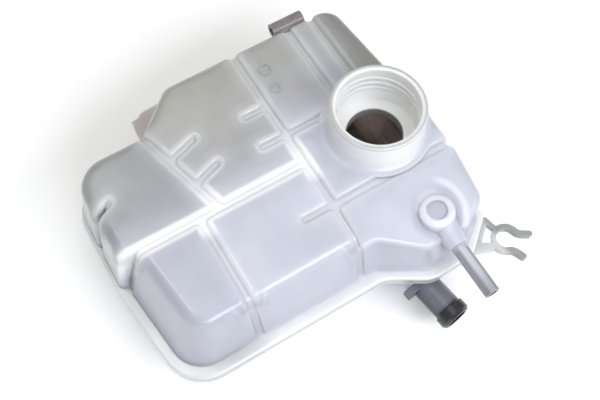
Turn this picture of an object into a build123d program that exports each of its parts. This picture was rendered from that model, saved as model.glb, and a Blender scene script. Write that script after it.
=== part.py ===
from build123d import *

import os
from math import cos, hypot, radians, sin

# Coolant expansion tank: two welded polypropylene shells and a barbed hose stub.
# Millimetres. Z is up from the flat underside, X runs along the long side, Y to the rear.

# heights
weld_z = 40.0
flange_t = 5.0
cell_rise = 46.0
neck_rise = 24.0
foot_z = weld_z + flange_t
crest_z = foot_z + cell_rise
rim_z = crest_z + neck_rise

# wall sections
wall = 2.6
floor_t = 3.0
baffle_t = 2.4
overlap = 1.0
far = 220.0

# plan corners (x, y, radius), the same corners at each level, anticlockwise from the front left
foot = [
    (-115.0, -61.5, 22.0),
    (21.0, -61.5, 14.0),
    (50.0, -79.0, 14.0),
    (81.0, -78.5, 8.0),
    (100.5, -65.0, 8.0),
    (101.5, 5.0, 60.0),
    (97.0, 114.0, 16.0),
    (-43.0, 114.0, 12.0),
    (-72.1, 88.0, 1.0),
    (-124.0, 88.0, 26.0),
    (-123.0, 10.0, 40.0),
]
crest = [
    (-100.5, -51.5, 15.0),
    (24.0, -51.5, 12.0),
    (50.0, -69.5, 12.0),
    (80.0, -70.0, 9.0),
    (98.5, -60.5, 10.0),
    (99.5, 5.0, 60.0),
    (88.5, 107.0, 13.0),
    (-41.0, 107.0, 11.0),
    (-70.1, 81.0, 1.0),
    (-116.0, 81.0, 20.0),
    (-109.0, 10.0, 40.0),
]
# the rear left cell bulges out past the line of the left wall
bulge_foot = [(-128.0, -20.0, 14.0), (-10.0, -20.0, 14.0), (-10.0, 88.0, 14.0), (-126.5, 88.0, 26.0)]
bulge_crest = [(-119.0, -20.0, 14.0), (-10.0, -20.0, 14.0), (-10.0, 81.0, 14.0), (-120.0, 81.0, 20.0)]
rim = [
    (-121.0, -69.0, 28.0),
    (23.0, -69.0, 20.0),
    (50.0, -85.5, 16.0),
    (83.0, -84.5, 8.0),
    (105.0, -66.0, 8.0),
    (105.5, 5.0, 60.0),
    (104.0, 120.0, 20.0),
    (-46.0, 120.0, 14.0),
    (-73.0, 94.0, 8.0),
    (-129.0, 94.0, 32.0),
    (-130.0, 8.0, 60.0),
]
flange_edge_r = 1.5

# grooves that part the top into cells
groove_w = 2.4
groove_depth = 2.6
groove_side = 1.6
lip_r = 4.2
lip_angle = 12.0
fold_r = 8.0
cell_corner_r = 5.0
least_r = 0.5
spine_x = 10.5
front_x = -65.0
cross_y = 10.5
lobe_y = -23.0
neck_line_y = 34.5
slant_front = (-50.3, 10.5)
slant_rear = (-69.0, 77.0)
lobe_fall = 0.387

# short notches that run into a cell from a groove or a wall, (from, to)
notches = {
    "rear_left": [((-150.0, 30.0), (-109.0, 49.0))],
    "rear_middle": [
        ((spine_x, 34.5), (-7.0, 34.5)),
        ((spine_x, 59.0), (-6.0, 59.0)),
        ((-62.5, 55.5), (-43.0, 62.0)),
        ((-56.0, 33.0), (-38.0, 39.0)),
    ],
    "rear_right": [((53.0, far), (53.0, 20.0)), ((71.5, far), (71.5, 20.0))],
    "front_middle": [((spine_x, -23.0), (-10.0, -23.0))],
}

# filler neck
neck_x = 63.0
neck_y = 10.0
neck_r = 31.0
neck_bore_r = 27.0
neck_edge_r = 1.3
neck_flare = 5.0
neck_sink = 0.5
swell_r = 36.0
swell_foot_r = 39.0
swell_x = 20.0
seat_z = crest_z - 10.0
seat_t = 3.0
seal_r = 19.0
seal_len = 9.0

# round boss and vent spigot on the lobe
boss_x = 66.0
boss_y = -57.0
boss_r = 12.0
boss_z = foot_z + 38.0
boss_edge_r = 3.5
boss_dish_r = 6.5
boss_dish = 1.8
boss_dish_edge_r = 1.2
vent_x = 68.0
vent_z = foot_z + 24.0
vent_r = 5.0
vent_bore_r = 3.2
vent_root_r = 12.0
vent_throat_r = 6.6
vent_throat_y = -81.0
vent_end_y = -117.0

# eyelet on the rear edge
eye_x0 = 44.0
eye_x1 = 68.0
eye_y = 111.5
eye_z = crest_z - 5.0
eye_r = 5.0
eye_bore_r = 3.0

# baffles under the grooves, and the flow windows through them
baffles = [
    ((-far, cross_y), (spine_x, cross_y)),
    ((spine_x, -far), (spine_x, far)),
    (slant_front, (slant_rear[0] * 2 - slant_front[0], slant_rear[1] * 2 - slant_front[1])),
    ((front_x, -far), (front_x, cross_y)),
    ((spine_x, lobe_y), (far, lobe_y)),
]
windows = [
    (-95.0, cross_y),
    (-28.0, cross_y),
    (spine_x, 72.0),
    (spine_x, -8.0),
    (spine_x, -44.0),
    (-60.0, 45.0),
    (front_x, -26.0),
    (40.0, lobe_y),
]
window_w = 16.0
window_h = 12.0

# lower shell
tray_top_inset = 7.5
tray_foot_inset = 18.0
tray_corner_r = 6.0
tray_edge_r = 6.0

# locating tongue in the rear step
tongue = [
    (-68.0, 92.0, 1.0),
    (-36.0, 112.0, 1.0),
    (-36.0, 129.6, 2.0),
    (-57.0, 128.6, 8.0),
    (-66.5, 120.0, 4.0),
]
nib = [(-65.2, 117.5), (-59.5, 126.0), (-66.0, 125.0)]

# hose clip at the right front corner
clip_x = 110.0
clip_y = -85.3
clip_r = 6.6
clip_t = 4.0
clip_start = 12.0
clip_sweep = 236.0
clip_flare_r = 7.0
clip_flare = 45.0
clip_tip = 5.0
clip_z0 = weld_z - flange_t
clip_h = flange_t
clip_root = [
    (103.0, -63.5),
    (84.0, -79.0),
    (86.0, -83.0),
    (98.0, -88.0),
    (104.5, -86.0),
    (110.0, -77.5),
    (107.5, -66.0),
]
clip_hole = [(104.8, -70.5), (94.0, -79.8), (100.2, -83.2), (103.5, -78.0), (106.5, -75.5)]

# outlet stub and its socket
stub_x = 50.0
stub_y = -85.0
stub_z = foot_z - 20.2
stub_turn = 9.0
stub_r = 9.75
stub_bore_r = 7.5
stub_lip_r = 11.0
stub_lip_len = 9.0
stub_lip_rise = 1.0
stub_nose = 2.0
stub_nose_r = 9.25
stub_back = 15.0
stub_reach = 27.0
socket_r = 12.6
socket_gap = 0.05
socket_back = 19.0
socket_front = 8.0
lug_w = 11.0
lug_h = 7.0
lug_len = 5.5
lug_out = 16.0


def grown(corners, amount, least=least_r):
    """Corners moved outward by amount, or inward where it is negative, with their radii."""
    out = []
    for i, (x, y, r) in enumerate(corners):
        px, py, _ = corners[i - 1]
        nx, ny, _ = corners[(i + 1) % len(corners)]
        ax, ay = x - px, y - py
        bx, by = nx - x, ny - y
        la, lb = hypot(ax, ay), hypot(bx, by)
        ax, ay, bx, by = ax / la, ay / la, bx / lb, by / lb
        reach = amount / (1 + ax * bx + ay * by)
        radius = r + amount if ax * by > ay * bx else r
        out.append((x + reach * (ay + by), y - reach * (ax + bx), max(radius, least)))
    return out


def level(low, high, z):
    """Corners at height z, on the draft between the low and the high corners."""
    s = (z - foot_z) / cell_rise
    return [tuple(a + s * (b - a) for a, b in zip(f, c)) for f, c in zip(low, high)]


def plan(corners):
    """A face with these rounded corners, in the sketch at work."""
    with BuildLine(Plane.XY) as loop:
        FilletPolyline(*[(x, y) for x, y, _ in corners], radius=[r for _, _, r in corners], close=True)
    make_face(loop.edges())


def bar(start, end, width):
    """A strip of this width from start to a round end, in the sketch at work."""
    dx, dy = end[0] - start[0], end[1] - start[1]
    run = hypot(dx, dy)
    ox, oy = -dy / run * width / 2, dx / run * width / 2
    with BuildLine(Plane.XY) as loop:
        a = Line((start[0] + ox, start[1] + oy), (start[0] - ox, start[1] - oy))
        b = Line(a @ 1, (end[0] - ox, end[1] - oy))
        c = TangentArc(b @ 1, (end[0] + ox, end[1] + oy), tangent=b % 1)
        Line(c @ 1, a @ 0)
    make_face(loop.edges())


def slant_x(y):
    """Where the slanting groove crosses this y."""
    (x0, y0), (x1, y1) = slant_front, slant_rear
    return x0 + (x1 - x0) * (y - y0) / (y1 - y0)


def is_lip(edge, solid):
    """True where two faces meet at a real angle above the weld plane."""
    middle = edge @ 0.5
    if middle.Z < weld_z + overlap:
        return False
    sides = [f.normal_at(middle) for f in solid.faces() if edge in f.edges()]
    return len(sides) == 2 and sides[0].get_angle(sides[1]) > lip_angle


def body(low, high, inset, drop, start):
    """The drafted outer form, its sides drawn in by inset and its top lowered by drop."""
    top = crest_z - drop
    with BuildPart() as form:
        with BuildSketch(Plane.XY.offset(start)):
            plan(grown(level(low, high, start), -inset))
        with BuildSketch(Plane.XY.offset(top)):
            plan(grown(level(low, high, top), -inset))
        loft(ruled=True)
        fillet(form.faces().sort_by(Axis.Z)[-1].edges(), fold_r - inset)
    return form.part


def lobe_slope(drop):
    """What lies above the lobe's falling top, drop below the outer face."""
    y = lobe_y - groove_w / 2
    with BuildPart() as above:
        with BuildSketch(Plane.YZ.offset(spine_x)):
            z = crest_z - drop
            Polygon((y, z), (y, far), (-far, far), (-far, z - lobe_fall * (far + y)), align=None)
        extrude(amount=far)
    return above.part


def cell(name, region, inset, start):
    """One cell of the top with soft lips, or its hollow where it is drawn in by inset."""
    bulged = name == "rear_left"
    form = body(bulge_foot if bulged else foot, bulge_crest if bulged else crest, inset, inset, start)
    slope = lobe_slope(inset)
    with BuildPart() as block:
        add(form)
        with BuildSketch(Plane.XY.offset(start)):
            plan(grown([(x, y, cell_corner_r) for x, y in region], -groove_w / 2 - inset))
        extrude(amount=far, mode=Mode.INTERSECT)
        if name in notches:
            with BuildSketch(Plane.XY.offset(start)):
                for a, b in notches[name]:
                    bar(a, b, groove_w + 2 * inset)
            extrude(amount=far, mode=Mode.SUBTRACT)
        if name == "lobe":
            add(slope, mode=Mode.SUBTRACT)
        if not inset:
            fillet([e for e in block.edges() if is_lip(e, block.part)], lip_r)
    return block.part


def swell(inset, start):
    """The part of the right wall that swells out round the neck."""
    with BuildPart() as tower:
        with BuildSketch(Plane.XY.offset(start)):
            with Locations((neck_x, neck_y)):
                Circle(swell_foot_r - inset)
        with BuildSketch(Plane.XY.offset(crest_z - inset)):
            with Locations((neck_x, neck_y)):
                Circle(swell_r - inset)
        loft(ruled=True)
        with BuildSketch(Plane.YZ.offset(neck_x + swell_x)):
            with Locations((neck_y, crest_z)):
                Rectangle(far, far)
        extrude(amount=far, mode=Mode.INTERSECT)
    return tower.part


def core(inset, drop, start):
    """The form under the groove floors."""
    form = body(foot, crest, inset, drop, start)
    slope = lobe_slope(drop)
    with BuildPart() as block:
        add(form)
        add(slope, mode=Mode.SUBTRACT)
    return block.part


cells = {
    "rear_left": [(-far, cross_y), (slant_x(cross_y), cross_y), (slant_x(far), far), (-far, far)],
    "rear_middle": [(slant_x(cross_y), cross_y), (spine_x, cross_y), (spine_x, far), (slant_x(far), far)],
    "rear_right": [(spine_x, neck_line_y), (far, neck_line_y), (far, far), (spine_x, far)],
    "front_left": [(-far, -far), (front_x, -far), (front_x, cross_y), (-far, cross_y)],
    "front_middle": [(front_x, -far), (spine_x, -far), (spine_x, cross_y), (front_x, cross_y)],
    "neck_side": [(spine_x, lobe_y), (far, lobe_y), (far, neck_line_y), (spine_x, neck_line_y)],
    "lobe": [(spine_x, -far), (far, -far), (far, lobe_y), (spine_x, lobe_y)],
}


os.makedirs("parts", exist_ok=True)

outer_cells = [cell(name, region, 0.0, weld_z) for name, region in cells.items()]
hollow_cells = [cell(name, region, wall, weld_z - overlap) for name, region in cells.items()]
outer_swell = swell(0.0, weld_z)
hollow_swell = swell(wall, weld_z - overlap)
outer_core = core(groove_side, groove_depth, weld_z)
hollow_core = core(groove_side + wall, groove_depth + wall, weld_z - overlap)

with BuildPart() as upper_baffles:
    with BuildSketch(Plane.XY.offset(weld_z)):
        for a, b in baffles:
            bar(a, b, baffle_t)
    extrude(amount=cell_rise)
    with BuildSketch(Plane.XY.offset(weld_z)):
        with Locations(*windows):
            Rectangle(window_w, window_w)
    extrude(amount=window_h, mode=Mode.SUBTRACT)
    add(core(groove_side + wall / 2, groove_depth + wall / 2, weld_z), mode=Mode.INTERSECT)

with BuildPart() as upper_flange:
    with BuildSketch(Plane.XY.offset(weld_z)):
        plan(rim)
    extrude(amount=flange_t)
    fillet(upper_flange.faces().sort_by(Axis.Z)[-1].edges(), flange_edge_r)

with BuildPart() as neck:
    with BuildSketch(Plane(origin=(neck_x, neck_y, 0), x_dir=(1, 0, 0), z_dir=(0, -1, 0))):
        with BuildLine():
            FilletPolyline(
                (seal_r, seat_z - seal_len),
                (seal_r + wall, seat_z - seal_len),
                (seal_r + wall, seat_z - seat_t),
                (neck_r, seat_z - seat_t),
                (neck_r, crest_z - groove_depth - overlap),
                (neck_r + neck_flare + overlap, crest_z - groove_depth - overlap),
                (neck_r + neck_flare + overlap, crest_z - neck_sink),
                (neck_r, crest_z - neck_sink),
                (neck_r, rim_z),
                (neck_bore_r, rim_z),
                (neck_bore_r, seat_z),
                (seal_r, seat_z),
                radius=[0, 0, 0, 0, 0, 0, 0, neck_flare, neck_edge_r, neck_edge_r, 0, 0],
                close=True,
            )
        make_face()
    revolve(axis=Axis((neck_x, neck_y, 0), (0, 0, 1)))
    with BuildSketch(Plane.XY.offset(crest_z - groove_depth - overlap)):
        with Locations((neck_x + swell_x + far / 2, neck_y)):
            Rectangle(far, far)
        with Locations((neck_x, neck_y)):
            Circle(swell_r, mode=Mode.SUBTRACT)
    extrude(amount=cell_rise, mode=Mode.SUBTRACT)

with BuildPart() as boss:
    with BuildSketch(Plane(origin=(boss_x, boss_y, 0), x_dir=(1, 0, 0), z_dir=(0, -1, 0))):
        with BuildLine():
            FilletPolyline(
                (0, vent_z),
                (boss_r, vent_z),
                (boss_r, boss_z),
                (boss_dish_r, boss_z),
                (boss_dish_r, boss_z - boss_dish),
                (0, boss_z - boss_dish),
                radius=[0, 0, boss_edge_r, boss_dish_edge_r, boss_dish_edge_r / 2, 0],
                close=True,
            )
        make_face()
    revolve(axis=Axis((boss_x, boss_y, 0), (0, 0, 1)))

with BuildPart() as throat:
    with BuildSketch(Plane.XZ.offset(-boss_y)):
        with Locations((vent_x, vent_z)):
            Circle(vent_root_r)
    with BuildSketch(Plane.XZ.offset(-vent_throat_y)):
        with Locations((vent_x, vent_z)):
            Circle(vent_throat_r)
    loft(ruled=True)

with BuildPart() as upper_shell:
    add(outer_cells + [outer_core, outer_swell, upper_flange.part, boss.part, throat.part])
    # vent spigot on the lobe, eyelet on the rear edge
    with BuildSketch(Plane.XZ.offset(-boss_y)):
        with Locations((vent_x, vent_z)):
            Circle(vent_r)
    extrude(amount=boss_y - vent_end_y)
    with BuildSketch(Plane.YZ.offset(eye_x0)):
        with Locations((eye_y, eye_z)):
            Circle(eye_r)
    extrude(amount=eye_x1 - eye_x0)
    # the hollow, and the baffles across it
    add(hollow_cells + [hollow_core, hollow_swell], mode=Mode.SUBTRACT)
    add(upper_baffles.part)
    # bores of the spigot and the eyelet
    with BuildSketch(Plane.XZ.offset(-vent_end_y + overlap)):
        with Locations((vent_x, vent_z)):
            Circle(vent_bore_r)
    extrude(amount=vent_end_y - boss_y - overlap, mode=Mode.SUBTRACT)
    with BuildSketch(Plane.YZ.offset(eye_x0 - overlap)):
        with Locations((eye_y, eye_z)):
            Circle(eye_bore_r)
    extrude(amount=eye_x1 - eye_x0 + 2 * overlap, mode=Mode.SUBTRACT)
    # filler neck, with the seal seat and the seal bore at its foot
    with BuildSketch(Plane.XY.offset(seat_z - seal_len)):
        with Locations((neck_x, neck_y)):
            Circle(neck_r - overlap)
    extrude(amount=far, mode=Mode.SUBTRACT)
    add(neck.part)

upper_shell.part.label = "upper_shell"
export_step(upper_shell.part, "parts/upper_shell.step")

stub_way = (sin(radians(stub_turn)), -cos(radians(stub_turn)), 0)
stub_side = (cos(radians(stub_turn)), sin(radians(stub_turn)), 0)
stub_plane = Plane(origin=(stub_x, stub_y, stub_z), x_dir=stub_side, z_dir=stub_way)

with BuildPart() as tray:
    with BuildSketch(Plane.XY):
        plan(grown(rim, -tray_foot_inset, tray_corner_r))
    with BuildSketch(Plane.XY.offset(weld_z)):
        plan(grown(rim, -tray_top_inset, tray_corner_r))
    loft(ruled=True)
    fillet(tray.faces().sort_by(Axis.Z)[0].edges(), tray_edge_r)

with BuildPart() as tray_hollow:
    with BuildSketch(Plane.XY.offset(floor_t)):
        plan(grown(rim, -tray_foot_inset - wall, tray_corner_r))
    with BuildSketch(Plane.XY.offset(weld_z + overlap)):
        plan(grown(rim, -tray_top_inset - wall, tray_corner_r))
    loft(ruled=True)
    fillet(tray_hollow.faces().sort_by(Axis.Z)[0].edges(), tray_edge_r - wall)

with BuildPart() as lower_baffles:
    with BuildSketch(Plane.XY.offset(floor_t / 2)):
        for a, b in baffles:
            bar(a, b, baffle_t)
    extrude(amount=weld_z - floor_t / 2)
    with BuildSketch(Plane.XY.offset(weld_z - window_h)):
        with Locations(*windows):
            Rectangle(window_w, window_w)
    extrude(amount=window_h, mode=Mode.SUBTRACT)
    add(tray.part, mode=Mode.INTERSECT)

with BuildPart() as lower_flange:
    with BuildSketch(Plane.XY.offset(weld_z - flange_t)):
        plan(rim)
    extrude(amount=flange_t)
    fillet(lower_flange.faces().sort_by(Axis.Z)[0].edges(), flange_edge_r)

with BuildPart() as lower_shell:
    add([tray.part, lower_flange.part])
    # locating tongue in the rear step
    with BuildSketch(Plane.XY.offset(weld_z - flange_t)):
        plan(tongue)
        Polygon(*nib, align=None)
    extrude(amount=flange_t)
    # hose clip
    with BuildSketch(Plane.XY.offset(clip_z0)):
        with BuildLine():
            ring = CenterArc((clip_x, clip_y), clip_r + clip_t / 2, clip_start, clip_sweep)
            low = JernArc(ring @ 1, ring % 1, clip_flare_r, -clip_flare)
            low_arm = Line(low @ 1, low @ 1 + (low % 1) * clip_tip)
            high = JernArc(ring @ 0, ring % 0 * -1, clip_flare_r, clip_flare)
            high_arm = Line(high @ 1, high @ 1 + (high % 1) * clip_tip)
        trace(line_width=clip_t)
        with Locations(low_arm @ 1, high_arm @ 1):
            Circle(clip_t / 2)
        Polygon(*clip_root, align=None)
        Polygon(*clip_hole, align=None, mode=Mode.SUBTRACT)
        with Locations((clip_x, clip_y)):
            Circle(clip_r, mode=Mode.SUBTRACT)
    extrude(amount=clip_h)
    add(tray_hollow.part, mode=Mode.SUBTRACT)
    add(lower_baffles.part)
    # socket of the outlet
    with BuildSketch(stub_plane.offset(-socket_back)):
        Circle(socket_r)
    extrude(amount=socket_back - socket_front)
    with BuildSketch(stub_plane.offset(-stub_back)):
        Circle(stub_r + socket_gap)
    extrude(amount=stub_back, mode=Mode.SUBTRACT)
    with BuildSketch(stub_plane.offset(-socket_back - wall)):
        Circle(stub_bore_r)
    extrude(amount=socket_back, mode=Mode.SUBTRACT)

lower_shell.part.label = "lower_shell"
export_step(lower_shell.part, "parts/lower_shell.step")

with BuildPart() as outlet_stub:
    with BuildSketch(Plane(origin=(stub_x, stub_y, stub_z), x_dir=stub_side, z_dir=(0, 0, -1))):
        with BuildLine():
            FilletPolyline(
                (stub_bore_r, -stub_back),
                (stub_r, -stub_back),
                (stub_r, stub_reach - stub_lip_len),
                (stub_lip_r, stub_reach - stub_lip_len + stub_lip_rise),
                (stub_lip_r, stub_reach - stub_nose),
                (stub_nose_r, stub_reach),
                (stub_bore_r, stub_reach),
                radius=0,
                close=True,
            )
        make_face()
    revolve(axis=Axis((stub_x, stub_y, stub_z), stub_way))
    with BuildSketch(stub_plane.offset(-socket_front)):
        with Locations((-lug_out + lug_w / 2, lug_h / 2)):
            Rectangle(lug_w, lug_h)
    extrude(amount=lug_len)

outlet_stub.part.label = "outlet_stub"
export_step(outlet_stub.part, "parts/outlet_stub.step")
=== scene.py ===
"""Looks of a coolant expansion tank: finishes, neck thread, moulding marks, light and camera."""

import logging
import math
from dataclasses import dataclass
from enum import Enum
from functools import reduce
from typing import Any, Mapping, Optional, Sequence, Union

import bmesh
import bpy
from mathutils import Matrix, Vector


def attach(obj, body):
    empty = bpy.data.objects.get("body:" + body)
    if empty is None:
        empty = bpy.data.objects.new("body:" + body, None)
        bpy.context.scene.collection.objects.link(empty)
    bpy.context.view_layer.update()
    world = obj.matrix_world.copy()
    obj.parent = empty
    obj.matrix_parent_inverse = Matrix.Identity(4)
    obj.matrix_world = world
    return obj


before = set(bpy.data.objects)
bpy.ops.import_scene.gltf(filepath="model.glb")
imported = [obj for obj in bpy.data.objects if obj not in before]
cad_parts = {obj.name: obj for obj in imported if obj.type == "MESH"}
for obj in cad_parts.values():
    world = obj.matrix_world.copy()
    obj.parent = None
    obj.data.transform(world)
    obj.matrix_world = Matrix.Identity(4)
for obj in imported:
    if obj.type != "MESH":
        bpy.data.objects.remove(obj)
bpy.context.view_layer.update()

LOG = logging.getLogger("tank")
MM = 0.001
BODY = "root"

Socket = bpy.types.NodeSocket
Key = Union[int, str]
Point = tuple[float, float]
Span = tuple[float, float]
Stop = tuple[float, str]

NECK_AXIS: Point = (63.0, 10.0)
SKYWARD = (0.0, 0.0, 1.0)
# where a noise has nearly all its values
NOISE: Span = (0.3, 0.7)
WHOLE: Span = (0.0, 1.0)
# sockets of a mix node, which have the same names for each kind of value
SHARE, FROM_VECTOR, TO_VECTOR, FROM_COLOUR, TO_COLOUR = 0, 4, 5, 6, 7
VECTOR_OUT, COLOUR_OUT = 1, 2


class Node(Enum):
    """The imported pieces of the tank."""

    UPPER = "upper_shell"
    LOWER = "lower_shell"
    STUB = "outlet_stub"


class Slot(Enum):
    """The record's material slots."""

    NATURAL = "natural_pp"


class Measure(Enum):
    """What the limits of a layer are measured by, in millimetres where nothing else is said."""

    X = "X"
    Y = "Y"
    Z = "Z"
    UP = "upward share of the way a surface faces"
    RIGHT = "rightward share of the way a surface faces"
    NECK = "distance in plan from the neck's axis"
    WELL = "distance in plan from the middle of what shows through the neck"
    BOSS = "distance in plan from the boss's axis"
    WALL = "distance in plan from the nearest inner wall"
    SWELL = "rounded distance in plan from the inner walls near by"
    ALONG = "way along the stub"
    BLOTCH = "noise from 0 to 1"


Limit = tuple[Measure, float, float]
Limits = tuple[Limit, ...]

# limits that several layers share
ABOVE_FLANGE: Limit = (Measure.Z, 44.0, 48.0)
ABOVE_TRAY: Limit = (Measure.Z, 33.0, 36.0)
TOPS: Limit = (Measure.UP, 0.0, 0.8)
CREST: Limit = (Measure.Z, 50.0, 78.0)
CLIP: Limits = ((Measure.X, 102.0, 108.0), (Measure.Z, 50.0, 46.0))
SPIGOT_UP: Limit = (Measure.Z, 55.0, 58.0)
SPIGOT: Limits = ((Measure.Y, -80.0, -86.0), SPIGOT_UP)
WELL: Limits = (
    (Measure.WELL, 48.0, 40.0),
    (Measure.Z, 1.0, 2.0),
    (Measure.Z, 72.0, 66.0),
    (Measure.RIGHT, 0.5, 0.2),
)


def to_linear(colour: str) -> tuple[float, float, float, float]:
    """Turn an sRGB hex colour into linear values.

    Args:
        colour: the colour as "#RRGGBB".

    Returns:
        Linear red, green and blue, with an alpha of one.
    """
    parts = [int(colour[i : i + 2], 16) / 255 for i in (1, 3, 5)]
    red, green, blue = [c / 12.92 if c <= 0.04045 else ((c + 0.055) / 1.055) ** 2.4 for c in parts]
    return red, green, blue, 1.0


@dataclass(frozen=True)
class Layer:
    """A tone that lies over a colour where all its limits are met.

    Attributes:
        tone: the hex colour.
        amount: its share at most.
        limits: each a measure, the value where the tone begins and the value where it is full.
    """

    tone: str
    amount: float
    limits: Limits


class Tree:
    """The nodes of a material, with the measures that its layers lie by."""

    def __init__(self, name: str) -> None:
        """Make the material, and measure places in millimetres and the way that surfaces face.

        Args:
            name: the material's name.
        """
        self.material = bpy.data.materials.new(name)
        self.material.use_nodes = True
        place = self.add("TexCoord", out="Object")
        self.place = self.add("VectorMath", place, named={"Scale": 1 / MM}, operation="SCALE")
        facing = self.add("NewGeometry", out="Normal")
        self.measures: dict[Measure, Socket] = {}
        for measure, vector, axis in (
            (Measure.X, self.place, "X"),
            (Measure.Y, self.place, "Y"),
            (Measure.Z, self.place, "Z"),
            (Measure.RIGHT, facing, "X"),
            (Measure.UP, facing, "Z"),
        ):
            self.measures[measure] = self.add("SeparateXYZ", vector, out=axis)

    def feed(self, node: bpy.types.Node, inputs: Mapping[Key, Any]) -> None:
        """Set or link the inputs of a node.

        Args:
            node: the node.
            inputs: sockets by name or number, each with its value or the socket that feeds it.
        """
        for key, value in inputs.items():
            if isinstance(value, Socket):
                self.material.node_tree.links.new(value, node.inputs[key])
            else:
                node.inputs[key].default_value = value

    def add(
        self,
        kind: str,
        *inputs: Any,
        named: Optional[Mapping[Key, Any]] = None,
        out: Key = 0,
        stops: Sequence[Stop] = (),
        **settings: Any,
    ) -> Socket:
        """Add a shader node with its settings and links.

        Args:
            kind: the type of node, without the "ShaderNode" it begins with.
            inputs: values or feeding sockets of the first inputs, in order.
            named: values or feeding sockets of other inputs, by name or number.
            out: the output that is handed back.
            stops: places and hex colours of a colour ramp.
            settings: the node's own properties.

        Returns:
            The output socket.
        """
        node = self.material.node_tree.nodes.new("ShaderNode" + kind)
        for name, value in settings.items():
            setattr(node, name, value)
        self.feed(node, {**dict(enumerate(inputs)), **(named or {})})
        for i, (place, colour) in enumerate(stops):
            elements = node.color_ramp.elements
            element = elements[i] if i < len(elements) else elements.new(place)
            element.position = place
            element.color = to_linear(colour)
        return node.outputs[out]

    def paint(self, colour: Any, layers: Sequence[Layer]) -> Socket:
        """Lay tones over a colour, one after the other.

        Args:
            colour: the colour or its socket.
            layers: the tones.

        Returns:
            The painted colour.
        """
        for layer in layers:
            mask: Any = layer.amount
            for measure, start, end in layer.limits:
                by = self.measures[measure]
                met = self.add("MapRange", by, start, end, interpolation_type="SMOOTHSTEP")
                mask = self.add("Math", mask, met, operation="MULTIPLY")
            inputs = {SHARE: mask, FROM_COLOUR: colour, TO_COLOUR: to_linear(layer.tone)}
            colour = self.add("Mix", named=inputs, out=COLOUR_OUT, data_type="RGBA")
        return colour

    def finish(self, inputs: Mapping[Key, Any]) -> bpy.types.Material:
        """Feed the shader and hand over the material."""
        self.feed(self.material.node_tree.nodes["Principled BSDF"], inputs)
        return self.material


@dataclass(frozen=True)
class Relief:
    """A noise that stands out of a surface.

    Attributes:
        width: width of its forms in millimetres.
        detail: how many finer forms lie over them.
        rise: its height in millimetres.
        strength: how much of it the light sees.
    """

    width: float
    detail: float
    rise: float
    strength: float


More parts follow.
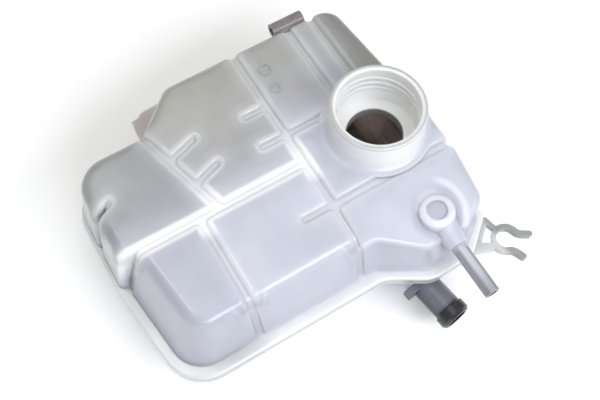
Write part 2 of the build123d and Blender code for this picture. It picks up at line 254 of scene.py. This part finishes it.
@dataclass(frozen=True)
class NaturalPolypropylene:
    """Natural polypropylene, injection moulded: milky, waxy, and paler where walls stand behind it,
    with painted light and shade in its colour.

    Attributes:
        name: the material's name.
        along: colours of the plain wall from the front to the rear, with painted sheen in the pale
            blue at the front and painted shade in the grey at the rear.
        run: front and rear end of those colours.
        lag: how much further back they lie right of the spine.
        spine: from where to where the lag grows.
        wander: how far they stray from straight.
        drift: width of such a stray.
        walls: plan lines of the inner walls and of the notches over them.
        well_at: middle of what shows through the neck.
        boss_at: axis of the boss.
        melt: how softly the distances from the walls run into each other.
        streak: size of the dried streaks, along each axis.
        cloud: width of a cloud of regrind in the wall.
        cloudy: darkest and palest share of the colour in the clouds.
        crisp: how far the light sees the edges of neck and flange as rounded.
        soft: how far it sees the folds of the cells as rounded, by the wall's milky depth.
        collar: where the neck ends and the plain wall begins, from the neck's axis.
        skirt: where the neck's own slopes end and grooves begin, from the neck's axis.
        ledge: heights where the flange ends and the walls begin.
        crown: heights where the walls end and the tops begin.
        groove: where a groove's slopes begin and are full, from the inner wall below it.
        spout: where the spigot ends and the shell begins.
        reliefs: fine forms of the surface.
        pillow: where a cell begins to swell and is full, from the inner walls.
        puff: how high it swells.
        scuff: width of a scuff.
        gloss: roughness of the clean and of the scuffed wall.
        milk: share of the light that scatters in the neck and spigot, and in the plain wall.
        layers: tones over the plain wall.
    """

    name: str = "natural_polypropylene_moulded"
    # painted sheen at the front, painted shade at the rear
    along: tuple[Stop, ...] = (
        (0.0, "#BABDCA"),
        (0.25, "#BABDCA"),
        (0.40, "#BDC1CE"),
        (0.48, "#B8BAC8"),
        (0.60, "#A1A1A5"),
        (0.85, "#9E9E98"),
        (1.0, "#9C9B94"),
    )
    run: Span = (-90.0, 120.0)
    lag: float = 24.0
    spine: Span = (4.0, 18.0)
    wander: float = 22.0
    drift: float = 45.0
    walls: tuple[tuple[Point, Point], ...] = (
        ((-130.0, 10.5), (10.5, 10.5)),
        ((10.5, -60.0), (10.5, 106.0)),
        ((-50.3, 10.5), (-70.1, 81.0)),
        ((-65.0, -62.0), (-65.0, 10.5)),
        ((10.5, -23.0), (98.0, -23.0)),
        ((10.5, 34.5), (98.0, 34.5)),
        ((-10.0, -23.0), (10.5, -23.0)),
        ((-7.0, 34.5), (10.5, 34.5)),
        ((-6.0, 59.0), (10.5, 59.0)),
        ((-62.5, 55.5), (-43.0, 62.0)),
        ((-56.0, 33.0), (-38.0, 39.0)),
        ((-132.0, 38.4), (-109.0, 49.0)),
        ((53.0, 36.0), (53.0, 112.0)),
        ((71.5, 36.0), (71.5, 112.0)),
    )
    well_at: Point = (72.0, 26.0)
    boss_at: Point = (66.0, -57.0)
    melt: float = 30.0
    streak: tuple[float, float, float] = (4.0, 48.0, 12.0)
    cloud: float = 18.0
    cloudy: Span = (0.95, 1.02)
    crisp: float = 1.2
    soft: float = 12.0
    collar: Span = (33.0, 42.0)
    skirt: Span = (31.0, 35.0)
    ledge: Span = (47.0, 53.0)
    crown: Span = (72.0, 82.0)
    groove: Span = (13.0, 6.0)
    spout: Span = (-86.0, -80.0)
    reliefs: tuple[Relief, ...] = (
        # mould grain, drawn at 1.6 mm because the real half millimetre would not show
        Relief(width=1.6, detail=3.0, rise=0.2, strength=0.1),
        # sink marks
        Relief(width=28.0, detail=1.0, rise=1.0, strength=0.2),
    )
    pillow: Span = (-10.0, 40.0)
    puff: float = 4.0
    scuff: float = 12.0
    gloss: Span = (0.3, 0.4)
    milk: Span = (0.2, 0.85)
    layers: tuple[Layer, ...] = (
        # painted shade darkens the tops of the rear left cell and the far lane; the front left cell
        # and the neck's cell are duller and bluer
        Layer(
            "#86878C",
            0.5,
            ((Measure.X, -56.0, -72.0), (Measure.Y, 8.0, 16.0), ABOVE_FLANGE, TOPS),
        ),
        Layer("#A0A3B0", 0.6, ((Measure.X, -62.0, -68.0), (Measure.Y, 13.0, 8.0), ABOVE_FLANGE)),
        Layer(
            "#A4A8B6",
            0.4,
            (
                (Measure.X, 8.0, 13.0),
                (Measure.Y, -26.0, -20.0),
                (Measure.Y, 37.0, 32.0),
                ABOVE_FLANGE,
            ),
        ),
        Layer(
            "#787974",
            0.9,
            ((Measure.X, 69.0, 74.0), (Measure.Y, 32.0, 37.0), ABOVE_FLANGE, TOPS),
        ),
        # milky bands where inner walls meet the top, strongest at the cross wall and the notches;
        # partly painted light that lifts the shade in the grooves over those walls
        Layer("#E9EBF3", 0.1, ((Measure.WALL, 14.0, 4.0), CREST)),
        Layer("#EEF0F6", 0.15, ((Measure.WALL, 6.0, 3.0), CREST)),
        Layer(
            "#FFFFFF",
            0.8,
            ((Measure.WALL, 7.0, 3.0), CREST, (Measure.Y, 40.0, 14.0), (Measure.Y, -6.0, 4.0)),
        ),
        Layer(
            "#FAFBFF",
            0.15,
            (
                (Measure.WALL, 7.0, 3.0),
                CREST,
                (Measure.X, 16.0, 10.0),
                (Measure.Y, 27.0, 33.0),
                (Measure.Y, 70.0, 64.0),
            ),
        ),
        # milky ring on the boss, and a painted highlight in an arc round it, along the lobe's
        # rounded fold
        Layer(
            "#E9EBF4",
            0.5,
            ((Measure.BOSS, 16.0, 11.0), (Measure.BOSS, 4.0, 9.0), (Measure.Z, 70.0, 76.0)),
        ),
        Layer(
            "#EDEFF7",
            0.45,
            (
                (Measure.BOSS, 23.0, 20.0),
                (Measure.BOSS, 16.0, 19.0),
                (Measure.X, 72.0, 80.0),
                (Measure.Z, 52.0, 66.0),
            ),
        ),
        # the thick neck is whiter, with a duller rim, and a dark line round the rim as painted
        # shade of a fine groove
        Layer("#EEEEED", 0.9, ((Measure.NECK, 38.0, 32.0), (Measure.Z, 88.0, 98.0))),
        Layer("#C0C1BF", 0.8, ((Measure.Z, 111.5, 113.5),)),
        Layer(
            "#8F908E",
            0.6,
            ((Measure.NECK, 30.6, 30.0), (Measure.NECK, 28.8, 29.4), (Measure.Z, 112.0, 114.0)),
        ),
        # its bore and seat are as white, as painted light for light through the neck's wall that
        # lifts the shade inside; the flange is a little whiter too
        Layer("#EEEEED", 1.0, ((Measure.NECK, 28.4, 27.6), (Measure.Z, 78.0, 80.0))),
        Layer("#EAEBEC", 0.8, ((Measure.Z, 47.0, 44.5), ABOVE_TRAY, (Measure.X, 112.0, 104.0))),
        # painted shade dims the flange on the left and the walls that face the front; the clip is
        # grey, with painted shade on its sides
        Layer("#B4B5B6", 0.6, ((Measure.X, -50.0, -80.0), (Measure.Z, 45.5, 45.0), ABOVE_TRAY)),
        Layer(
            "#9497A3",
            0.4,
            ((Measure.Y, -36.0, -56.0), (Measure.UP, 0.7, 0.2), (Measure.Z, 46.0, 50.0)),
        ),
        Layer("#8C8D8C", 0.9, CLIP),
        # painted shade on the clip's sides
        Layer("#555655", 0.8, (*CLIP, (Measure.UP, 0.7, 0.4))),
        # painted shade in the corner where the left wall stands on the flange
        Layer(
            "#7C7F83",
            0.55,
            ((Measure.Z, 50.0, 46.5), (Measure.Z, 44.9, 45.4), (Measure.X, -60.0, -90.0)),
        ),
        # painted shade on the outer side of the flange, and the weld line round it
        Layer(
            "#8F8F8D",
            0.45,
            ((Measure.Z, 45.0, 44.0), (Measure.Z, 35.0, 36.0), (Measure.UP, 0.6, 0.3)),
        ),
        Layer("#7E7E7C", 0.45, ((Measure.Z, 41.0, 40.3), (Measure.Z, 39.0, 39.7))),
        # smoky spigot with painted shade along both sides, and darker towards the end
        Layer("#C3C2CF", 0.8, SPIGOT),
        Layer("#5F5E69", 0.8, (*SPIGOT, (Measure.X, 68.8, 71.2))),
        Layer("#5F5E69", 0.6, (*SPIGOT, (Measure.X, 66.8, 64.4))),
        Layer("#6A6A72", 0.5, ((Measure.Y, -96.0, -114.0), SPIGOT_UP)),
        # grime on the eyelet and the tongue
        Layer(
            "#635756",
            0.85,
            (
                (Measure.Y, 105.0, 108.0),
                (Measure.Z, 76.0, 79.0),
                (Measure.X, 72.0, 69.0),
                (Measure.X, 40.0, 43.0),
            ),
        ),
        Layer(
            "#B3A9A5",
            0.8,
            ((Measure.Y, 98.0, 112.0), (Measure.Z, 50.0, 42.0), (Measure.X, -26.0, -36.0)),
        ),
        # painted shade under the seat; below it the walls and the floor are painted nearly white,
        # as painted light that lifts their shade, with streaks where old coolant has dried
        Layer(
            "#8F8A82",
            0.8,
            ((Measure.NECK, 21.0, 19.8), (Measure.Z, 80.4, 79.0), (Measure.Z, 60.0, 70.0)),
        ),
        # painted light in the shaded inside below the neck
        Layer("#F6F2EC", 0.95, WELL),
        Layer("#C9B8B4", 0.7, (*WELL, (Measure.X, 56.0, 68.0), (Measure.BLOTCH, 0.4, 0.56))),
    )

    def measure(self, tree: Tree) -> None:
        """Add the distances and the noise that the layers lie by.

        Args:
            tree: the material's nodes.
        """
        known = tree.measures
        flat = tree.add("CombineXYZ", known[Measure.X], known[Measure.Y])
        for name, axis in (
            (Measure.NECK, NECK_AXIS),
            (Measure.WELL, self.well_at),
            (Measure.BOSS, self.boss_at),
        ):
            middle = (*axis, 0.0)
            known[name] = tree.add("VectorMath", flat, middle, out="Value", operation="DISTANCE")
        gaps = []
        for start, end in self.walls:
            run = Vector(end) - Vector(start)
            off = tree.add("VectorMath", flat, (*start, 0.0), operation="SUBTRACT")
            share = (*(run / run.length_squared), 0.0)
            reach = tree.add("VectorMath", off, share, out="Value", operation="DOT_PRODUCT")
            held = tree.add("Clamp", reach)
            foot = tree.add("VectorMath", (*run, 0.0), named={"Scale": held}, operation="SCALE")
            gaps.append(tree.add("VectorMath", off, foot, out="Value", operation="DISTANCE"))
        known[Measure.WALL] = reduce(lambda a, b: tree.add("Math", a, b, operation="MINIMUM"), gaps)
        known[Measure.SWELL] = reduce(
            lambda a, b: tree.add("Math", a, b, self.melt, operation="SMOOTH_MIN"), gaps
        )
        sizes = tuple(1 / size for size in self.streak)
        drawn = tree.add("VectorMath", tree.place, sizes, operation="MULTIPLY")
        known[Measure.BLOTCH] = tree.add("TexNoise", drawn, named={"Scale": 1.0, "Detail": 3.0})

    def wall(self, tree: Tree) -> Socket:
        """Colour of the plain wall, warm and grey at the rear, cool and pale at the front; the
        front's pale blue is painted sheen and the rear's grey is painted shade.

        Args:
            tree: the material's nodes.

        Returns:
            The colour.
        """
        known = tree.measures
        cloud = tree.add("TexNoise", tree.place, named={"Scale": 1 / self.drift})
        stray = tree.add("MapRange", cloud, *WHOLE, -self.wander / 2, self.wander / 2)
        lag = tree.add("MapRange", known[Measure.X], *self.spine, 0.0, -self.lag)
        way = tree.add("Math", known[Measure.Y], tree.add("Math", stray, lag), operation="ADD")
        share = tree.add("MapRange", way, *self.run)
        return tree.add("ValToRGB", share, stops=self.along)

    def colour(self, tree: Tree) -> Socket:
        """Colour of the wall with its layers, clouded by regrind.

        Args:
            tree: the material's nodes.

        Returns:
            The colour.
        """
        painted = tree.paint(self.wall(tree), self.layers)
        cloud = tree.add("TexNoise", tree.place, named={"Scale": 1 / self.cloud, "Detail": 4.0})
        tone = tree.add("MapRange", cloud, *NOISE, *self.cloudy)
        return tree.add("VectorMath", painted, named={"Scale": tone}, operation="SCALE")

    def folds(self, tree: Tree, clear: Socket) -> Socket:
        """Way the wall faces, with soft folds and shallow grooves, as its milky depth shows them.

        Args:
            tree: the material's nodes.
            clear: none at the neck, one on the plain wall.

        Returns:
            The normal.
        """
        known = tree.measures
        above = tree.add("MapRange", known[Measure.Z], *self.ledge)
        free = tree.add("Math", clear, above, operation="MULTIPLY")
        reach = tree.add("MapRange", free, *WHOLE, self.crisp * MM, self.soft * MM)
        rounded = tree.add("Bevel", reach, samples=8)
        near = tree.add("MapRange", known[Measure.WALL], *self.groove)
        high = tree.add("MapRange", known[Measure.Z], *self.crown)
        outside = tree.add("MapRange", known[Measure.NECK], *self.skirt)
        share = tree.add("Math", near, high, operation="MULTIPLY")
        share = tree.add("Math", share, outside, operation="MULTIPLY")
        inputs = {SHARE: share, FROM_VECTOR: rounded, TO_VECTOR: SKYWARD}
        level = tree.add("Mix", named=inputs, out=VECTOR_OUT, data_type="VECTOR")
        return tree.add("VectorMath", level, operation="NORMALIZE")

    def bumps(self, tree: Tree, normal: Socket) -> Socket:
        """Add the fine forms and the swell of the cells to the way the wall faces.

        Args:
            tree: the material's nodes.
            normal: the way it faces without them.

        Returns:
            The normal.
        """
        for relief in self.reliefs:
            inputs = {"Scale": 1 / relief.width, "Detail": relief.detail}
            height = tree.add("TexNoise", tree.place, named=inputs)
            inputs = {"Height": height, "Strength": relief.strength, "Distance": relief.rise * MM}
            normal = tree.add("Bump", named={**inputs, "Normal": normal})
        gap = tree.measures[Measure.SWELL]
        swell = tree.add("MapRange", gap, *self.pillow, interpolation_type="SMOOTHSTEP")
        inputs = {"Height": swell, "Strength": 1.0, "Distance": self.puff * MM, "Normal": normal}
        return tree.add("Bump", named=inputs)

    def build(self) -> bpy.types.Material:
        """Make the material.

        Returns:
            The material.
        """
        tree = Tree(self.name)
        self.measure(tree)
        clear = tree.add("MapRange", tree.measures[Measure.NECK], *self.collar)
        shell = tree.add("MapRange", tree.measures[Measure.Y], *self.spout)
        milky = tree.add("Math", clear, shell, operation="MULTIPLY")
        scuff = tree.add("TexNoise", tree.place, named={"Scale": 1 / self.scuff, "Detail": 3.0})
        return tree.finish(
            {
                "Base Color": self.colour(tree),
                "Roughness": tree.add("MapRange", scuff, *NOISE, *self.gloss),
                "IOR": 1.49,
                "Subsurface Weight": tree.add("MapRange", milky, *WHOLE, *self.milk),
                "Subsurface Radius": (1.0, 0.97, 0.95),
                "Subsurface Scale": 7 * MM,
                "Coat Weight": 0.8,
                "Coat Roughness": 0.26,
                "Coat IOR": 1.65,
                "Normal": self.bumps(tree, self.folds(tree, clear)),
            }
        )


@dataclass(frozen=True)
class BlackPolyamide:
    """Dark glass-filled polyamide, injection moulded: satin, streaked along the flow, grey-shafted.

    Attributes:
        name: the material's name.
        shaft: colour of the shaft.
        root: point on the axis where the stub leaves the shell.
        turn: angle from straight ahead to the right, in degrees.
        streak: size of the flow streaks, along each axis.
        fray: how far the lip's black strays into the shaft and back.
        grain: the mould grain.
        scuff: width of a scuff.
        gloss: roughness of the clean and of the scuffed wall.
        layers: tones over the shaft.
    """

    name: str = "dark_polyamide_moulded"
    shaft: str = "#62636E"
    root: tuple[float, float, float] = (50.0, -85.0, 24.8)
    turn: float = 9.0
    streak: tuple[float, float, float] = (1.4, 12.6, 1.4)
    fray: Span = (-1.5, 1.5)
    grain: Relief = Relief(width=0.9, detail=3.0, rise=0.15, strength=0.2)
    scuff: float = 5.0
    gloss: Span = (0.18, 0.28)
    layers: tuple[Layer, ...] = (
        # painted shade on the sides that face away from the sky, a black lip, and streaks where
        # hoses have rubbed
        Layer("#1C1C20", 0.9, ((Measure.UP, 0.75, 0.15),)),
        Layer("#242426", 1.0, ((Measure.ALONG, 15.0, 19.5),)),
        Layer("#8A8A90", 0.3, ((Measure.BLOTCH, 0.6, 0.8),)),
    )

    def measure(self, tree: Tree) -> None:
        """Add the way along the stub and the noise that the layers lie by.

        Args:
            tree: the material's nodes.
        """
        angle = math.radians(self.turn)
        ahead = (math.sin(angle), -math.cos(angle), 0.0)
        off = tree.add("VectorMath", tree.place, self.root, operation="SUBTRACT")
        along = tree.add("VectorMath", off, ahead, out="Value", operation="DOT_PRODUCT")
        sizes = tuple(1 / size for size in self.streak)
        drawn = tree.add("VectorMath", tree.place, sizes, operation="MULTIPLY")
        streak = tree.add("TexNoise", drawn, named={"Scale": 1.0, "Detail": 3.0})
        stray = tree.add("MapRange", streak, *WHOLE, *self.fray)
        tree.measures[Measure.ALONG] = tree.add("Math", along, stray)
        tree.measures[Measure.BLOTCH] = streak

    def build(self) -> bpy.types.Material:
        """Make the material.

        Returns:
            The material.
        """
        tree = Tree(self.name)
        self.measure(tree)
        inputs = {"Scale": 1 / self.grain.width, "Detail": self.grain.detail}
        height = tree.add("TexNoise", tree.place, named=inputs)
        rise = self.grain.rise * MM
        inputs = {"Height": height, "Strength": self.grain.strength, "Distance": rise}
        scuff = tree.add("TexNoise", tree.place, named={"Scale": 1 / self.scuff, "Detail": 3.0})
        return tree.finish(
            {
                "Base Color": tree.paint(to_linear(self.shaft), self.layers),
                "Roughness": tree.add("MapRange", scuff, *NOISE, *self.gloss),
                "IOR": 1.53,
                "Normal": tree.add("Bump", named=inputs),
            }
        )


@dataclass(frozen=True)
class WhitePaper:
    """White backdrop paper: matt, with the faintest fibre.

    Attributes:
        name: the material's name.
        tone: its colour.
        fibre: width of the fibre, drawn at 3 mm because the real one would not show.
        layers: the fibre's tone.
    """

    name: str = "white_backdrop_paper"
    tone: str = "#FDFDFD"
    fibre: float = 3.0
    layers: tuple[Layer, ...] = (Layer("#E4E4E4", 0.03, ((Measure.BLOTCH, *NOISE),)),)

    def build(self) -> bpy.types.Material:
        """Make the material.

        Returns:
            The material.
        """
        tree = Tree(self.name)
        fibre = tree.add("TexNoise", tree.place, named={"Scale": 1 / self.fibre, "Detail": 3.0})
        tree.measures[Measure.BLOTCH] = fibre
        colour = tree.paint(to_linear(self.tone), self.layers)
        return tree.finish({"Base Color": colour, "Roughness": 0.9, "Specular IOR Level": 0.1})


def as_object(name: str, shape: bmesh.types.BMesh, finish: bpy.types.Material) -> bpy.types.Object:
    """Turn a mesh in metres into a smooth object of the scene.

    Args:
        name: the piece's name.
        shape: the mesh, which is freed.
        finish: the piece's material.

    Returns:
        The linked object.
    """
    bmesh.ops.recalc_face_normals(shape, faces=shape.faces)
    for face in shape.faces:
        face.smooth = True
    mesh = bpy.data.meshes.new(name)
    shape.to_mesh(mesh)
    shape.free()
    mesh.materials.append(finish)
    made = bpy.data.objects.new(name, mesh)
    bpy.context.scene.collection.objects.link(made)
    return made


def carry(piece: bpy.types.Object) -> None:
    """Let a piece ride on the tank."""
    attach(piece, BODY)
    LOG.info("%s: %d faces", piece.name, len(piece.data.polygons))


def turned(axis: Point, angle: float, section: Sequence[Point]) -> list[Vector]:
    """Turn a section about an upright axis.

    Args:
        axis: the axis in plan.
        angle: the turn in radians.
        section: radius and height of each point.

    Returns:
        The points in space.
    """
    x, y = axis
    return [Vector((x + r * math.cos(angle), y + r * math.sin(angle), z)) for r, z in section]


def skin(shape: bmesh.types.BMesh, loops: Sequence[Sequence[Vector]], ring: bool) -> None:
    """Stretch faces between neighbouring loops of points.

    Args:
        shape: the mesh that gets the faces.
        loops: loops in millimetres with as many points each.
        ring: whether the last loop joins the first, or both get a cap.
    """
    rows = [[shape.verts.new(point * MM) for point in loop] for loop in loops]
    pairs = list(zip(rows, rows[1:]))
    if ring:
        pairs.append((rows[-1], rows[0]))
    else:
        shape.faces.new(rows[0])
        shape.faces.new(rows[-1])
    for here, there in pairs:
        for k, corner in enumerate(here):
            shape.faces.new((here[k - 1], corner, there[k], there[k - 1]))


@dataclass
class NeckThread:
    """The shallow round thread inside the filler neck.

    Attributes:
        finish: the material.
        axis: axis of the neck.
        bore: radius of the neck's bore.
        low: height of the thread's start.
        pitch: rise of a turn.
        turns: number of turns.
        depth: how far the ridge stands out of the bore.
        width: width of the ridge at its foot.
        bed: how far the ridge's foot lies in the wall.
        runout: share of a turn over which the ridge rises and falls.
        least: share of the depth that its ends have.
        steps: steps round a turn.
        arc: steps over the ridge.
    """

    finish: bpy.types.Material
    axis: Point = NECK_AXIS
    bore: float = 27.0
    low: float = 92.5
    pitch: float = 5.6
    turns: float = 3.0
    depth: float = 0.6
    width: float = 3.4
    bed: float = 0.3
    runout: float = 0.12
    least: float = 0.02
    steps: int = 120
    arc: int = 8

    def section(self, turn: float) -> list[Point]:
        """Section of the ridge after some turns.

        Args:
            turn: the turns from its start.

        Returns:
            Radius and height of each point, from the lower to the upper foot.
        """
        rise = max(self.least, min(1.0, turn / self.runout, (self.turns - turn) / self.runout))
        z = self.low + turn * self.pitch
        half = self.width / 2
        points = [(self.bore + self.bed, z - half)]
        for k in range(self.arc + 1):
            angle = math.pi * k / self.arc
            inward = self.depth * rise * math.sin(angle)
            points.append((self.bore - inward, z - half * math.cos(angle)))
        points.append((self.bore + self.bed, z + half))
        return points

    def build(self) -> bpy.types.Object:
        """Sweep the ridge along its helix.

        Returns:
            The piece.
        """
        shape = bmesh.new()
        turns = [i / self.steps for i in range(int(self.turns * self.steps) + 1)]
        skin(shape, [turned(self.axis, math.tau * t, self.section(t)) for t in turns], False)
        return as_object("neck_thread", shape, self.finish)


@dataclass
class MouldMarks:
    """Plain round marks that the mould's inserts leave on the rear right cell.

    Attributes:
        finish: the material.
        top: height of the cell's top.
        rise: how far a mark stands up.
        shoulder: share of the rise at its rounded shoulders.
        bed: how far its foot lies in the wall.
        rings: axis, inner and outer radius of each raised ring.
        steps: steps round a ring.
    """

    finish: bpy.types.Material
    top: float = 91.0
    rise: float = 0.6
    shoulder: float = 0.8
    bed: float = 0.3
    rings: tuple[tuple[Point, float, float], ...] = (
        ((23.0, 84.0), 3.2, 4.6),
        ((22.0, 68.0), 2.4, 3.8),
    )
    steps: int = 64

    def section(self, inner: float, outer: float) -> list[Point]:
        """Rounded section of a ring.

        Args:
            inner: its inner radius.
            outer: its outer radius.

        Returns:
            Radius and height of each point.
        """
        ease = (outer - inner) / 4
        foot, head = self.top - self.bed, self.top + self.rise
        shoulder = self.top + self.rise * self.shoulder
        rising = [(inner, foot), (inner + ease / 2, shoulder), (inner + ease, head)]
        return rising + [(inner + outer - r, z) for r, z in reversed(rising)]

    def build(self) -> bpy.types.Object:
        """Turn each ring about its own axis.

        Returns:
            The piece.
        """
        shape = bmesh.new()
        for axis, inner, outer in self.rings:
            section = self.section(inner, outer)
            angles = [math.tau * i / self.steps for i in range(self.steps)]
            skin(shape, [turned(axis, angle, section) for angle in angles], True)
        return as_object("mould_marks", shape, self.finish)


@dataclass
class Shells:
    """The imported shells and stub, dressed in their finishes.

    Attributes:
        natural: material of both shells.
        dark: material of the stub.
    """

    natural: bpy.types.Material
    dark: bpy.types.Material

    def dress(self) -> None:
        """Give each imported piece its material."""
        for node, finish in (
            (Node.UPPER, self.natural),
            (Node.LOWER, self.natural),
            (Node.STUB, self.dark),
        ):
            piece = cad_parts[node.value]
            piece.data.materials.clear()
            piece.data.materials.append(finish)
            LOG.info("%s: dressed in %s", piece.name, finish.name)


@dataclass(frozen=True)
class Lamp:
    """A softbox.

    Attributes:
        name: the light's name.
        place: its centre in metres.
        size: its width and height in metres.
        watts: its power.
        tint: its hex colour.
    """

    name: str
    place: tuple[float, float, float]
    size: Point
    watts: float
    tint: str

    def build(self, target: Vector) -> None:
        """Hang the softbox so that it faces a point.

        Args:
            target: the point in metres.
        """
        data = bpy.data.lights.new(self.name, "AREA")
        data.shape = "RECTANGLE"
        data.size, data.size_y = self.size
        data.energy = self.watts
        data.color = to_linear(self.tint)[:3]
        made = bpy.data.objects.new(self.name, data)
        made.location = self.place
        made.rotation_euler = (target - Vector(self.place)).to_track_quat("-Z", "Y").to_euler()
        bpy.context.scene.collection.objects.link(made)


@dataclass
class Studio:
    """White floor, soft light and the camera.

    Attributes:
        azimuth: camera's angle round the tank, in degrees.
        elevation: camera's angle above the floor, in degrees.
        distance: from the target to the camera, in metres.
        target: the point looked at, in metres.
        lens: focal length in millimetres.
        sensor: sensor width in millimetres.
        floor: half of the floor's width, in metres.
        sky: colour of the even light.
        world: strength of the even light.
        lamps: the softboxes.
    """

    azimuth: float = -31.0
    elevation: float = 65.0
    distance: float = 0.5435
    target: tuple[float, float, float] = (0.0, 0.0, 0.065)
    lens: float = 50.0
    sensor: float = 36.0
    floor: float = 3.0
    sky: str = "#FFFFFF"
    world: float = 0.53
    lamps: tuple[Lamp, ...] = (
        Lamp("overhead_softbox", (0.12, 0.2, 1.5), (1.4, 1.4), 5.0, "#FFFEFA"),
        Lamp("tube_lamp", (-0.21, 0.37, 1.24), (0.08, 0.5), 2.0, "#FFFFFF"),
        Lamp("front_strip", (0.15, -0.8, 0.85), (1.1, 0.42), 10.5, "#F8FAFF"),
    )

    def lay_floor(self) -> None:
        """Lay the paper that the tank stands on."""
        shape = bmesh.new()
        bmesh.ops.create_grid(shape, x_segments=2, y_segments=2, size=self.floor)
        floor = as_object("studio_floor", shape, WhitePaper().build())

    def light(self) -> None:
        """Add the even light and the softboxes."""
        world = bpy.data.worlds.new("studio")
        world.use_nodes = True
        background = world.node_tree.nodes["Background"]
        background.inputs["Color"].default_value = to_linear(self.sky)
        background.inputs["Strength"].default_value = self.world
        bpy.context.scene.world = world
        for lamp in self.lamps:
            lamp.build(Vector(self.target))

    def aim(self) -> None:
        """Set up the camera."""
        angle, rise = math.radians(self.azimuth), math.radians(self.elevation)
        level = math.cos(rise)
        back = Vector((math.sin(angle) * level, -math.cos(angle) * level, math.sin(rise)))
        data = bpy.data.cameras.new("camera")
        data.lens = self.lens
        data.sensor_width = self.sensor
        camera = bpy.data.objects.new("camera", data)
        camera.location = Vector(self.target) + back * self.distance
        camera.rotation_euler = (-back).to_track_quat("-Z", "Y").to_euler()
        bpy.context.scene.collection.objects.link(camera)
        bpy.context.scene.camera = camera

    def build(self) -> None:
        """Set up floor, lights and camera, with colours shown as they are."""
        bpy.context.scene.view_settings.view_transform = "Standard"
        self.lay_floor()
        self.light()
        self.aim()


def main() -> None:
    """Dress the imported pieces, add the small forms, and light the scene."""
    logging.basicConfig(level=logging.INFO, format="%(name)s: %(message)s")
    natural = NaturalPolypropylene().build()
    dark = BlackPolyamide().build()
    Shells(natural, dark).dress()
    raised = NaturalPolypropylene("natural_polypropylene_raised", crisp=0.4, soft=0.4).build()
    carry(NeckThread(raised).build())
    carry(MouldMarks(raised).build())
    Studio().build()


if __name__ == "__main__":
    main()
